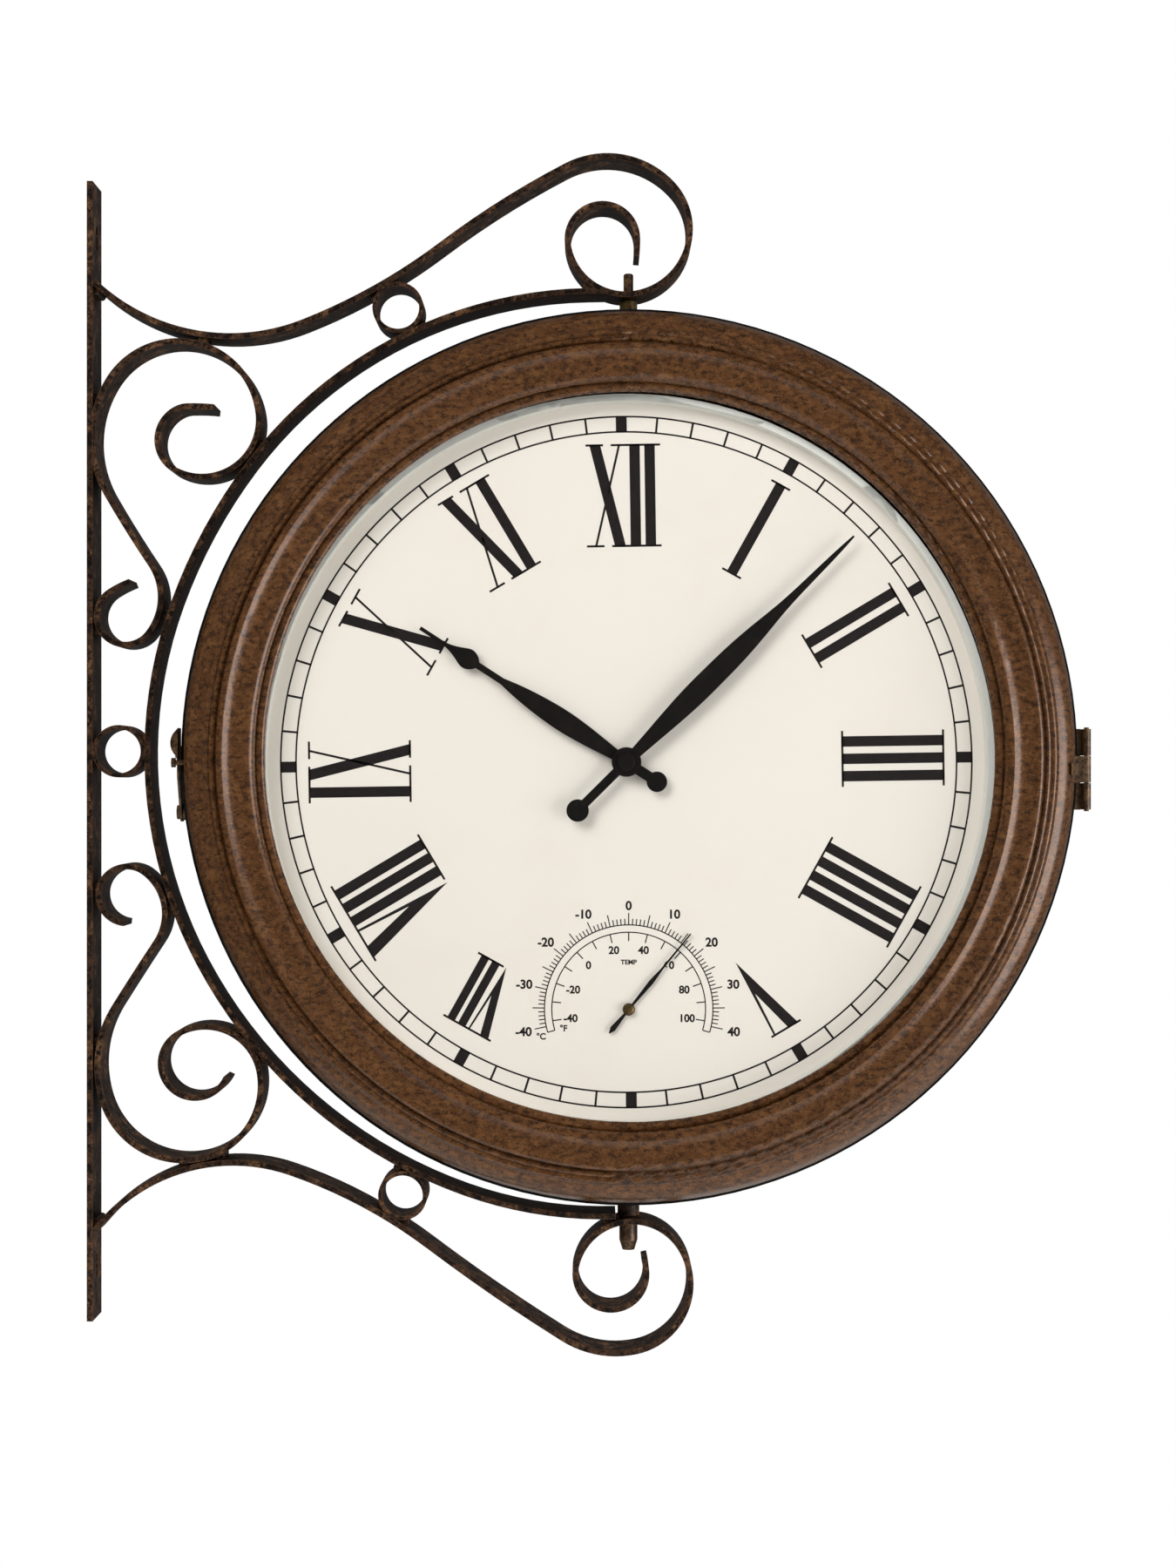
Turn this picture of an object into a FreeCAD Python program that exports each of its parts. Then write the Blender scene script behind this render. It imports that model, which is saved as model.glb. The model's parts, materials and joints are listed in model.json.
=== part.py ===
"""Double sided station clock on a scrolled wall bracket.

Millimetres, +Z up. The origin is the centre of the wall bar's back face, +X points away from
the wall and the front dial looks along -Y. "Depth" is the distance from the clock's middle
plane towards whoever reads the front dial, so depth d lies at Y = -d. The rear face is the
front face turned half a turn about the upright swivel axis.
"""
import FreeCAD
import Part
import math
import os
from FreeCAD import Vector

# --- bracket: flat bar, bent on its width -------------------------------------------------
BAR_WIDTH = 20.0
BAR_THICK = 2.5
WALL_BAR_LENGTH = 487.0
SLOT_SPACING = 442.0
SLOT_LENGTH = 11.0
SLOT_WIDTH = 5.5
# each bar: start (x, z), heading in degrees, then bends of (bar length, degrees turned left)
TOP_ARM = ((3.0, 200.5), -43.5,
           [(96.0, 65.0), (68.0, 15.5), (63.0, -9.5), (49.5, -74.5),
            (60.0, -123.0), (40.5, -93.0), (48.5, -186.5), (7.5, -6.0)])
BOTTOM_ARM = ((3.2, -204.7), 48.5,
              [(5.0, 0.0), (88.0, -67.5), (67.5, -18.0), (69.5, 5.0), (32.5, 44.0),
               (54.5, 106.5), (59.5, 139.5), (53.5, 201.5), (4.0, 4.0)])
ARC_BAR = ((223.3, 196.7), -179.0,
           [(9.3, 0.0), (168.0, 52.0), (67.5, 17.0), (159.5, 48.0), (153.5, 42.5), (65.2, 21.4)])
UPPER_SCROLL = ((54.2, 146.9), 174.0,
                [(11.5, 8.0), (4.5, 24.0), (32.8, 127.5), (52.0, 122.5), (86.5, 143.0), (51.0, 61.0),
                 (35.0, 4.0), (32.0, -72.5), (42.5, -198.5), (9.5, -12.0)])
LOWER_SCROLL = ((59.5, -139.5), -114.5,
                [(55.5, -217.0), (45.0, -109.0), (48.5, -87.0), (53.5, -84.5),
                 (42.0, -50.0), (33.0, -1.5), (33.5, 87.0), (44.5, 210.0)])
RING_WALL = 1.8
TOP_RING_RADIUS = 10.9
BOTTOM_RING_RADIUS = 10.45
TOP_RING_CENTRE = (132.8, 189.5)
BOTTOM_RING_CENTRE = (134.8, -189.8)
MIDDLE_RING_CENTRE = (13.6, 0.0)
MIDDLE_RING_RADIUS = 11.2
WELD_RADIUS = 1.7
WELD_LENGTH = 15.0
# places where bars are welded together (x, z)
WELDS = [(3.3, 197.2), (3.6, 151.8), (49.0, 175.9), (73.8, 131.8), (64.8, 120.2), (3.3, 51.8),
         (33.0, 58.8), (122.3, 194.8), (142.7, 183.2), (3.3, -5.7), (23.6, 6.2), (3.3, -58.0),
         (35.5, -68.0), (3.5, -124.3), (63.9, -119.2), (74.8, -132.8), (40.6, -176.8), (56.6, -173.7),
         (3.2, -201.5), (132.4, -178.1), (135.8, -201.5), (213.5, 198.7), (222.3, -200.8)]

# --- case ----------------------------------------------------------------------------------
CASE_X = 231.4
CASE_Z = -2.7
SHEET = 1.2
BAND_RADIUS = 187.0
BAND_DEPTH = 20.0
FLANGE_RADIUS = 181.0
GASKET_RADIUS = 189.3
GASKET_DEPTH = 21.5
BEZEL_RADIUS = 186.8
OPENING_RADIUS = 151.7
BEZEL_SHEET = 1.0
# bezel section from the lip at the glass out to the skirt: (radius, depth), arcs by mid point
BEZEL_SECTION = [(151.7, 39.4), (151.7, 41.2, 153.5, 42.2), (154.6, 42.2, 155.6, 41.4),
                 (156.3, 45.6, 158.8, 46.6), (163.8, 45.4, 168.2, 47.4), (170.2, 47.5, 171.0, 45.4),
                 (171.9, 42.6), (173.4, 43.6, 174.7, 42.4), (176.0, 43.0, 177.4, 41.4),
                 (178.2, 40.6), (182.5, 38.6, 185.5, 34.0), (186.7, 31.0, 186.8, 26.0), (186.8, 21.5)]
GLASS_RADIUS = 155.0
GLASS_DEPTH = (35.9, 38.4)
SPACER_RADII = (150.6, 153.5)
DIAL_RADIUS = 153.5
DIAL_DEPTH = (26.0, 27.0)
# the dial, with all that it carries, sits low in its seat, as photographed (x, z)
DIAL_SHIFT = (-1.3, -2.1)
TAB_ANGLES = [30, 90, 150, 210, 270, 330]
TAB_WIDTH = 8.0
TAB_RADIUS = 156.4
BEZEL_SCREW_RADIUS = 183.4
BEZEL_SCREW_ANGLES = [45, 135, 225, 315]

# --- swivel pins -----------------------------------------------------------------------------
TOP_PIN_RADIUS = 2.1
TOP_PIN_TIP = 205.6
TOP_COLLAR_RADIUS = 3.8
BOTTOM_PIN_RADIUS = 3.9
BOTTOM_PIN_TIP = -214.3
BOTTOM_COLLAR_RADIUS = 4.7
RUNNING_GAP = 0.08
FACE_GAP = 0.2
PIN_HEAD = 3.0

# --- hinge and catch ---------------------------------------------------------------------------
HINGE_REACH = 193.1
HINGE_DEPTH = 21.5
HINGE_Z = -7.8
KNUCKLE_LENGTH = 11.4
KNUCKLE_GAP = 0.2
STRAP_REACH = 183.6
BARREL_RADIUS = 1.9
HINGE_PIN_RADIUS = 1.0
LEAF = 1.2
CATCH_Z = -26.0
CATCH_DEPTH = 12.0
STUD_Z = -5.0
STUD_DEPTH = 25.0
LEVER_RADII = (189.8, 190.8)
THUMB_DEPTH = (18.0, 27.0)
THUMB_SWELL = 2.2

# --- clock work --------------------------------------------------------------------------------
MOVEMENT_SIDE = 56.0
MOVEMENT_DEPTH = (10.0, 26.0)
MOVEMENT_WALL = 1.5
BUSH_RADIUS = 4.0
BUSH_BORE = 2.7
BATTERY_RADIUS = 7.1
BATTERY_LENGTH = 50.5
BATTERY_Z = -18.4
BATTERY_DEPTH = 17.3
GEAR_ROOM_FLOOR = -10.3
CELL_ROOM_TOP = -11.2
GEAR_CENTRES = 12.0
SETTING_ANGLE = 135.0
CANNON_TEETH = 12
MINUTE_WHEEL_TEETH = 36
MINUTE_PINION_TEETH = 10
HOUR_WHEEL_TEETH = 40
LOW_MESH = (13.0, 15.0)
HIGH_MESH = (18.0, 20.0)
HOUR_HAND_DEPTH = (30.8, 31.4)
MINUTE_HAND_DEPTH = (32.6, 33.2)
HOUR_ANGLE = 303.0
MINUTE_ANGLE = 45.2
# half widths along each leaf hand: (distance from the hub, half width)
MINUTE_LEAF = [(4.0, 2.3), (25.0, 3.9), (39.0, 4.7), (52.0, 4.75), (66.0, 4.4), (80.0, 3.3),
               (91.0, 2.2), (112.0, 1.35), (134.0, 0.4)]
HOUR_LEAF = [(4.0, 2.2), (19.0, 3.8), (31.0, 4.5), (42.0, 4.1), (54.0, 2.8), (62.0, 1.4)]
HOUR_DROP = [(74.4, 1.4), (75.6, 2.8), (79.3, 4.3), (83.5, 2.9), (88.5, 1.2), (91.5, 0.8)]
HOUR_TIP = 103.0
MINUTE_TAIL = (28.8, 1.9, 4.7)
HOUR_TAIL = (15.2, 2.2, 4.3)
HAND_BOSS_RADIUS = 6.2

# --- thermometer ---------------------------------------------------------------------------------
THERMO_OFFSET = (1.0, -103.8)
CUP_RADIUS = 17.0
CUP_DEPTH = (17.0, 26.0)
COIL_TURNS = 4
COIL_PITCH = 2.6
COIL_DEPTH = (19.6, 23.6)
NEEDLE_DEPTH = (28.4, 28.8)
NEEDLE_ANGLE = 39.4
NEEDLE_POINTER = [(2.0, 0.5), (9.0, 0.75), (15.0, 1.0), (22.0, 0.45), (41.0, 0.3)]
NEEDLE_TAIL = [(2.0, 0.5), (7.0, 0.9), (10.6, 1.2), (13.0, 0.2)]
NEEDLE_HUB_RADIUS = 2.6

NODES = {}


def outline(entries, place):
    """Close a wire through entries: a pair is a straight line to it, four numbers are an arc."""
    edges = []
    here = place(*entries[0])
    for entry in entries[1:] + entries[:1]:
        there = place(*entry[-2:])
        if there.distanceToPoint(here) < 1e-6:
            continue
        if len(entry) == 4:
            edges.append(Part.Arc(here, place(*entry[:2]), there).toShape())
        else:
            edges.append(Part.LineSegment(here, there).toShape())
        here = there
    return Part.Wire(edges)


def turned(entries, cx=CASE_X, cz=CASE_Z):
    """Solid of revolution about the dial's axis from a section of (radius, depth)."""
    face = Part.Face(outline(entries, lambda r, d: Vector(cx + r, -d, cz)))
    return face.revolve(Vector(cx, 0, cz), Vector(0, 1, 0), 360)


def tube(inner, outer, low, high, cx=CASE_X, cz=CASE_Z):
    """Ring between two radii and two depths."""
    return turned([(inner, low), (outer, low), (outer, high), (inner, high)], cx, cz)


def rod(radius, low, high, cx=CASE_X, cz=CASE_Z):
    """Round rod along the dial's axis between two depths."""
    return Part.makeCylinder(radius, high - low, Vector(cx, -high, cz), Vector(0, 1, 0))


def upright(radius, low, high, x=CASE_X, y=0.0):
    """Round upright rod between two heights."""
    return Part.makeCylinder(radius, high - low, Vector(x, y, low), Vector(0, 0, 1))


def block(x, depth, z):
    """Box from three (low, high) pairs."""
    return Part.makeBox(x[1] - x[0], depth[1] - depth[0], z[1] - z[0], Vector(x[0], -depth[1], z[0]))


def plate(entries, low, high, cx=CASE_X, cz=CASE_Z):
    """Flat plate between two depths from an outline of (right, up) about a centre."""
    face = Part.Face(outline(entries, lambda a, b: Vector(cx + a, -high, cz + b)))
    return face.extrude(Vector(0, high - low, 0))


def clockwise(shape, degrees, cx, cz):
    """Turn a copy clockwise as the reader of the front dial sees it."""
    copy = shape.copy()
    copy.rotate(Vector(cx, 0, cz), Vector(0, 1, 0), degrees)
    return copy


def keep(name, shape):
    """File a finished solid, or a group of them, under its node name."""
    NODES[name] = shape.removeSplitter()


def largest(shape):
    """The biggest solid of a cut shape."""
    return max(shape.Solids, key=lambda solid: solid.Volume)


def bent_bar(start, heading, bends, low=-BAR_WIDTH / 2, high=BAR_WIDTH / 2, thick=BAR_THICK):
    """Flat bar of constant thickness that follows a list of bends in the bracket's plane."""
    def offset(point, angle, side):
        return Vector(point[0] - math.sin(angle) * side, -high, point[1] + math.cos(angle) * side)

    def strip(side):
        edges = []
        point = start
        angle = math.radians(heading)
        for length, turn in bends:
            stations = [(point, angle)]
            for part in (0.5, 1.0):
                swept = math.radians(turn) * part
                chord = length * part
                if turn:
                    chord = 2 * length / math.radians(turn) * math.sin(swept / 2)
                stations.append(((point[0] + chord * math.cos(angle + swept / 2),
                                  point[1] + chord * math.sin(angle + swept / 2)), angle + swept))
            ends = [offset(place, direction, side) for place, direction in stations]
            if turn:
                edges.append(Part.Arc(*ends).toShape())
            else:
                edges.append(Part.LineSegment(ends[0], ends[2]).toShape())
            point, angle = stations[-1]
        return edges

    left = strip(thick / 2)
    right = strip(-thick / 2)
    first = Part.LineSegment(right[0].Vertexes[0].Point, left[0].Vertexes[0].Point).toShape()
    last = Part.LineSegment(left[-1].Vertexes[-1].Point, right[-1].Vertexes[-1].Point).toShape()
    wire = Part.Wire(Part.sortEdges(left + [last] + right + [first])[0])
    return Part.Face(wire).extrude(Vector(0, high - low, 0))


def slot(z):
    """Upright slot through the wall bar."""
    reach = (SLOT_LENGTH - SLOT_WIDTH) / 2
    ends = [Part.makeCylinder(SLOT_WIDTH / 2, BAR_THICK, Vector(0, 0, z + side), Vector(1, 0, 0))
            for side in (-reach, reach)]
    middle = block((0, BAR_THICK), (-SLOT_WIDTH / 2, SLOT_WIDTH / 2), (z - reach, z + reach))
    return middle.fuse(ends)


def bar_seat(bar, z_low, z_high, radius):
    """Lowest and highest point of a bar inside an upright rod of the given radius."""
    box = bar.common(upright(radius, z_low, z_high)).BoundBox
    return box.ZMin, box.ZMax


def make_bracket():
    """Wall bar, arc, arms, scrolls, rings and weld beads."""
    half = WALL_BAR_LENGTH / 2
    wall_bar = block((0, BAR_THICK), (-BAR_WIDTH / 2, BAR_WIDTH / 2), (-half, half))
    for z in (-SLOT_SPACING / 2, SLOT_SPACING / 2):
        wall_bar = wall_bar.cut(slot(z))
    wall_zone = block((-20, BAR_THICK), (-BAR_WIDTH, BAR_WIDTH), (-half, half))
    top_arm = largest(bent_bar(*TOP_ARM).cut(wall_zone))
    bottom_arm = largest(bent_bar(*BOTTOM_ARM).cut(wall_zone))
    top_arm = top_arm.cut(upright(TOP_PIN_RADIUS + RUNNING_GAP, 190, 200))
    bottom_arm = bottom_arm.cut(upright(BOTTOM_PIN_RADIUS + RUNNING_GAP, -206, -195))
    arc_bar = largest(bent_bar(*ARC_BAR).cut(top_arm.fuse(bottom_arm)))
    fixed = wall_zone.fuse([top_arm, bottom_arm, arc_bar])
    upper_scroll = largest(bent_bar(*UPPER_SCROLL).cut(fixed))
    lower_scroll = largest(bent_bar(*LOWER_SCROLL).cut(fixed))
    half_width = BAR_WIDTH / 2
    rings = []
    for centre, radius in ((TOP_RING_CENTRE, TOP_RING_RADIUS), (BOTTOM_RING_CENTRE, BOTTOM_RING_RADIUS),
                           (MIDDLE_RING_CENTRE, MIDDLE_RING_RADIUS)):
        ring = tube(radius - RING_WALL, radius, -half_width, half_width, *centre)
        rings.append(largest(ring.cut(fixed)))
    bars = fixed.fuse([upper_scroll, lower_scroll] + rings)
    beads = []
    for x, z in WELDS:
        bead = rod(WELD_RADIUS, -WELD_LENGTH / 2, WELD_LENGTH / 2, x, z)
        beads.append(largest(bead.cut(bars)))
    keep("wall_bar", wall_bar)
    keep("top_arm", top_arm)
    keep("bottom_arm", bottom_arm)
    keep("arc_bar", arc_bar)
    keep("upper_side_scroll", upper_scroll)
    keep("lower_side_scroll", lower_scroll)
    keep("arm_rings", Part.makeCompound(rings[:2]))
    keep("middle_ring", rings[2])
    keep("weld_beads", Part.makeCompound(beads))
    return top_arm, bottom_arm


def make_band():
    """Drum between the two bezels, with a gasket on each edge and the holes that it needs."""
    inner = BAND_RADIUS - SHEET
    shelf = BAND_DEPTH - SHEET
    band = turned([(FLANGE_RADIUS, shelf), (inner, shelf), (inner, -shelf), (FLANGE_RADIUS, -shelf),
                   (FLANGE_RADIUS, -BAND_DEPTH), (BAND_RADIUS, -BAND_DEPTH), (BAND_RADIUS, BAND_DEPTH),
                   (FLANGE_RADIUS, BAND_DEPTH)])
    band = band.cut(upright(TOP_PIN_RADIUS, 170, 200))
    band = band.cut(upright(BOTTOM_PIN_RADIUS, -200, -180))
    band = band.cut(across(1.5, 180, 190, CATCH_DEPTH, CATCH_Z))
    gaskets = [tube(FLANGE_RADIUS, GASKET_RADIUS, *sorted((side * BAND_DEPTH, side * GASKET_DEPTH)))
               for side in (1, -1)]
    holes = bezel_screw_shanks()
    keep("case_band", band.cut(holes))
    keep("case_gaskets", Part.makeCompound([gaskets[0], gaskets[1].cut(holes)]))


def across(radius, near, far, depth, z):
    """Round rod along X on the catch's side, between two distances from the swivel axis."""
    return Part.makeCylinder(radius, far - near, Vector(CASE_X - far, -depth, z), Vector(1, 0, 0))


def bezel_screw_place(angle):
    """Centre (x, z) of one of the rear bezel's screws."""
    a = math.radians(angle)
    return CASE_X + BEZEL_SCREW_RADIUS * math.cos(a), CASE_Z + BEZEL_SCREW_RADIUS * math.sin(a)


def bezel_screw_shanks():
    """Shanks of the screws that hold the rear bezel to the band."""
    return Part.makeCompound([rod(1.5, -26.0, -18.8, *bezel_screw_place(a)) for a in BEZEL_SCREW_ANGLES])


def make_bezel_screws():
    """Four pan head screws inside the band."""
    screws = []
    for angle in BEZEL_SCREW_ANGLES:
        x, z = bezel_screw_place(angle)
        head = turned([(0, -18.8), (2.3, -18.8), (2.3, -17.6), (1.7, -16.9, 0.8, -16.6), (0, -16.6)], x, z)
        screws.append(head.fuse(rod(1.5, -26.0, -18.8, x, z)))
    keep("rear_bezel_screws", Part.makeCompound(screws))


def make_pins(top_arm, bottom_arm):
    """Swivel pins with their heads inside the band, and the collars that space the case."""
    reach = BAND_RADIUS - SHEET
    top_inside = CASE_Z + math.sqrt(reach ** 2 - (2 * TOP_PIN_RADIUS) ** 2)
    bottom_inside = CASE_Z - math.sqrt(reach ** 2 - (2 * BOTTOM_PIN_RADIUS) ** 2)
    seat = bar_seat(top_arm, 190, 200, TOP_COLLAR_RADIUS)[0]
    pin = upright(TOP_PIN_RADIUS, top_inside - 1.0, TOP_PIN_TIP)
    pin = pin.makeChamfer(0.5, [pin.Edges[0]]) if pin.Edges[0].BoundBox.ZMin > 0 else pin
    keep("top_pin", pin.fuse(upright(2 * TOP_PIN_RADIUS, top_inside - PIN_HEAD, top_inside)))
    collar = upright(TOP_COLLAR_RADIUS, 180, seat - FACE_GAP).cut(upright(TOP_PIN_RADIUS, 170, 200))
    drum = rod(BAND_RADIUS, -BAND_DEPTH, BAND_DEPTH)
    keep("top_collar", largest(collar.cut(drum)))
    seat = bar_seat(bottom_arm, -206, -195, BOTTOM_COLLAR_RADIUS)[1]
    tip = Part.makeCone(BOTTOM_PIN_RADIUS - 1.3, BOTTOM_PIN_RADIUS, 4.2, Vector(CASE_X, 0, BOTTOM_PIN_TIP))
    pin = upright(BOTTOM_PIN_RADIUS, BOTTOM_PIN_TIP + 4.2, bottom_inside + 1.0).fuse(tip)
    keep("bottom_pin", pin.fuse(upright(2 * BOTTOM_PIN_RADIUS, bottom_inside, bottom_inside + PIN_HEAD)))
    collar = upright(BOTTOM_COLLAR_RADIUS, seat + FACE_GAP / 2, -180)
    collar = collar.cut(upright(BOTTOM_PIN_RADIUS, -210, -170))
    keep("bottom_collar", largest(collar.cut(drum)))


def knuckle(index, bore):
    """One of the hinge's three barrel knuckles, counted from below."""
    low = HINGE_Z + (index - 1.5) * KNUCKLE_LENGTH + KNUCKLE_GAP / 2
    high = low + KNUCKLE_LENGTH - KNUCKLE_GAP
    x = CASE_X + HINGE_REACH
    barrel, hole = (upright(radius, low, high, x, -HINGE_DEPTH) for radius in (BARREL_RADIUS, bore))
    return (low, high), barrel, hole


def make_hinge():
    """Case leaf with two knuckles, door leaf with the middle one, and the pin."""
    x = CASE_X + HINGE_REACH
    leaf_depth = (HINGE_DEPTH - BARREL_RADIUS - 0.6, HINGE_DEPTH - BARREL_RADIUS + 0.4)
    drum = rod(BAND_RADIUS, -BAND_DEPTH, BAND_DEPTH)
    reach = 1.5 * KNUCKLE_LENGTH
    foot = tube(BAND_RADIUS, BAND_RADIUS + LEAF, 0, leaf_depth[1])
    case_leaf = foot.common(block((CASE_X, x), (0, 30), (HINGE_Z - reach, HINGE_Z + reach)))
    back = block((x - 12.0, x - BARREL_RADIUS - 0.4), leaf_depth, (HINGE_Z - reach, HINGE_Z + reach))
    case_leaf = case_leaf.fuse(back.cut(drum))
    bores = []
    for index in (0, 2):
        (low, high), barrel, bore = knuckle(index, HINGE_PIN_RADIUS)
        web = block((x - 12.0, x), leaf_depth, (low, high))
        case_leaf = case_leaf.fuse([web.cut(drum), barrel])
        bores.append(bore)
    keep("hinge_case_leaf", largest(case_leaf.cut(bores)))
    (low, high), barrel, bore = knuckle(1, HINGE_PIN_RADIUS + RUNNING_GAP)
    front = HINGE_DEPTH + BARREL_RADIUS
    wide = block((x - 7.5, x), (front - LEAF, front), (low, high)).cut(rod(BEZEL_RADIUS, 0, 40))
    skin = BEZEL_SECTION[-4:]
    wrap = turned([skin[0]] + skin[1:3] + [(BEZEL_RADIUS, front - LEAF)]
                  + lowered(skin[:3] + [(BEZEL_RADIUS, front - LEAF)], -LEAF))
    strap = wrap.common(block((CASE_X + STRAP_REACH, x), (0, 60), (HINGE_Z - 2.4, HINGE_Z + 2.4)))
    door_leaf = barrel.fuse([wide, strap]).cut(bore)
    keep("hinge_door_leaf", largest(door_leaf))
    ends = (HINGE_Z - reach - 0.6, HINGE_Z + reach + 0.6)
    keep("hinge_pin", upright(HINGE_PIN_RADIUS, *ends, x, -HINGE_DEPTH))


def make_catch():
    """Snap lever on the band, its shoulder rivet, and the stud on the door that it takes."""
    near, far = LEVER_RADII
    rivet = across(3.4, BAND_RADIUS - SHEET - 1, near - 0.15, CATCH_DEPTH, CATCH_Z)
    rivet = rivet.cut(rod(BAND_RADIUS, -BAND_DEPTH, BAND_DEPTH))
    rivet = rivet.fuse([across(1.5, BAND_RADIUS - SHEET - 2.5, far + 0.3, CATCH_DEPTH, CATCH_Z),
                        across(3.0, far + 0.15, far + 1.5, CATCH_DEPTH, CATCH_Z)])
    keep("latch_rivet", rivet)
    stud = across(1.1, BEZEL_RADIUS - 1.0, far + 1.0, STUD_DEPTH, STUD_Z).cut(rod(BEZEL_RADIUS, 20, 30))
    stud = stud.fuse(across(2.0, far + 0.3, far + 1.9, STUD_DEPTH, STUD_Z))
    keep("latch_stud", stud)
    # side view of the lever as (depth, height): it passes behind the stud and hooks over it
    side_view = [(CATCH_DEPTH - 4.0, CATCH_Z), (CATCH_DEPTH, CATCH_Z - 4.0, CATCH_DEPTH + 4.0, CATCH_Z),
                 (23.0, STUD_Z - 6.0), (23.2, STUD_Z), (24.0, STUD_Z + 1.5, 26.0, STUD_Z + 1.9),
                 (27.6, STUD_Z + 2.2), (27.6, STUD_Z + 7.0), (17.0, STUD_Z + 7.0), (16.4, STUD_Z - 3.0)]
    wire = outline(side_view, lambda d, z: Vector(CASE_X - far, -d, z))
    lever = Part.Face(wire).extrude(Vector(far - near, 0, 0))
    foot, tip = STUD_Z + 3.0, STUD_Z + 14.6
    thumb = plate([(-near, foot), (-near, tip), (-far, tip - 1.2),
                   (-far - THUMB_SWELL, (foot + tip) / 2 - 0.6, -far, foot)], *THUMB_DEPTH, CASE_X, 0.0)
    bore = across(1.5 + RUNNING_GAP, near - 1, far + 1, CATCH_DEPTH, CATCH_Z)
    keep("latch_lever", lever.fuse(thumb).cut(bore))


def lowered(entries, thickness):
    """The same path moved to its right by a sheet's thickness, walked from its end to its start."""
    points = [entry[i:i + 2] for entry in entries for i in range(0, len(entry), 2)]
    moved = []
    for index, (r, d) in enumerate(points):
        before = points[max(index - 1, 0)]
        after = points[min(index + 1, len(points) - 1)]
        length = math.dist(before, after)
        moved.append((r + (after[1] - before[1]) / length * thickness,
                      d - (after[0] - before[0]) / length * thickness))
    back = []
    middle = ()
    for entry in reversed(entries):
        back.append((*middle, *moved.pop()))
        middle = moved.pop() if len(entry) == 4 else ()
    return back


def bezel():
    """Pressed steel bezel with its turned-in flange and six tabs behind the dial."""
    seat = BEZEL_RADIUS - BEZEL_SHEET
    flange = [(FLANGE_RADIUS, GASKET_DEPTH), (FLANGE_RADIUS, GASKET_DEPTH + BEZEL_SHEET),
              (seat, GASKET_DEPTH + BEZEL_SHEET)]
    shell = turned(BEZEL_SECTION + flange + lowered(BEZEL_SECTION, BEZEL_SHEET)[1:])
    tabs = []
    for angle in TAB_ANGLES:
        strip = plate([(-TAB_WIDTH / 2, TAB_RADIUS), (TAB_WIDTH / 2, TAB_RADIUS),
                       (TAB_WIDTH / 2, TAB_RADIUS + 1.0), (-TAB_WIDTH / 2, TAB_RADIUS + 1.0)], 25.0, 43.0)
        hook = plate([(-TAB_WIDTH / 2, TAB_RADIUS - 7.0), (TAB_WIDTH / 2, TAB_RADIUS - 7.0),
                      (TAB_WIDTH / 2, TAB_RADIUS + 1.0), (-TAB_WIDTH / 2, TAB_RADIUS + 1.0)], 25.0, 26.0)
        tabs.append(clockwise(strip.fuse(hook), angle, CASE_X, CASE_Z))
    return shell.fuse(tabs)


def gear(teeth, module, depth, cx, cz, angle):
    """Stub toothed gear with one tooth pointing at the given angle, counterclockwise from +X."""
    root = module * (teeth / 2 - 1.05)
    tip = module * (teeth / 2 + 0.75)
    step = 2 * math.pi / teeth
    points = []
    for tooth in range(teeth):
        middle = math.radians(angle) + tooth * step
        for radius, part in ((root, -0.30), (tip, -0.12), (tip, 0.12), (root, 0.30)):
            turn = middle + part * step
            points.append((radius * math.cos(turn), radius * math.sin(turn)))
    return plate(points, *depth, cx, cz)


def leaf(half_widths):
    """Smooth outline of a leaf shape pointing up, from (distance, half width) stations."""
    right = [Vector(width, 0, distance) for distance, width in half_widths]
    left = [Vector(-v.x, 0, v.z) for v in right]
    edges = []
    for side in (right, left):
        curve = Part.BSplineCurve()
        curve.interpolate(side)
        edges.append(curve.toShape())
    edges += [Part.LineSegment(right[i], left[i]).toShape() for i in (0, -1)]
    return Part.Face(Part.Wire(Part.sortEdges(edges)[0]))


def flat_piece(faces, depth, cx, cz):
    """Extrude upright faces drawn about the origin, and place them at a centre."""
    solids = []
    for face in faces:
        solid = face.extrude(Vector(0, depth[1] - depth[0], 0))
        solid.translate(Vector(cx, -depth[1], cz))
        solids.append(solid)
    return solids


def strip_face(half_width, low, high):
    """Upright rectangle about the origin."""
    return Part.Face(outline([(-half_width, low), (half_width, low), (half_width, high), (-half_width, high)],
                             lambda a, b: Vector(a, 0, b)))


def tailed_hand(faces, tail, depth, cx, cz, angle, bore):
    """Hand with a boss round its bore and a ball on its tail, turned to its hour or minute."""
    ball_place, neck, ball = tail
    solids = flat_piece(faces + [strip_face(neck, -ball_place, 0)], depth, cx, cz)
    solids.append(rod(ball, *depth, cx, cz - ball_place))
    solids.append(rod(HAND_BOSS_RADIUS, *depth, cx, cz))
    hand = solids[0].fuse(solids[1:]).cut(rod(bore, depth[0] - 1, depth[1] + 1, cx, cz))
    return clockwise(hand, angle, cx, cz)


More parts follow.
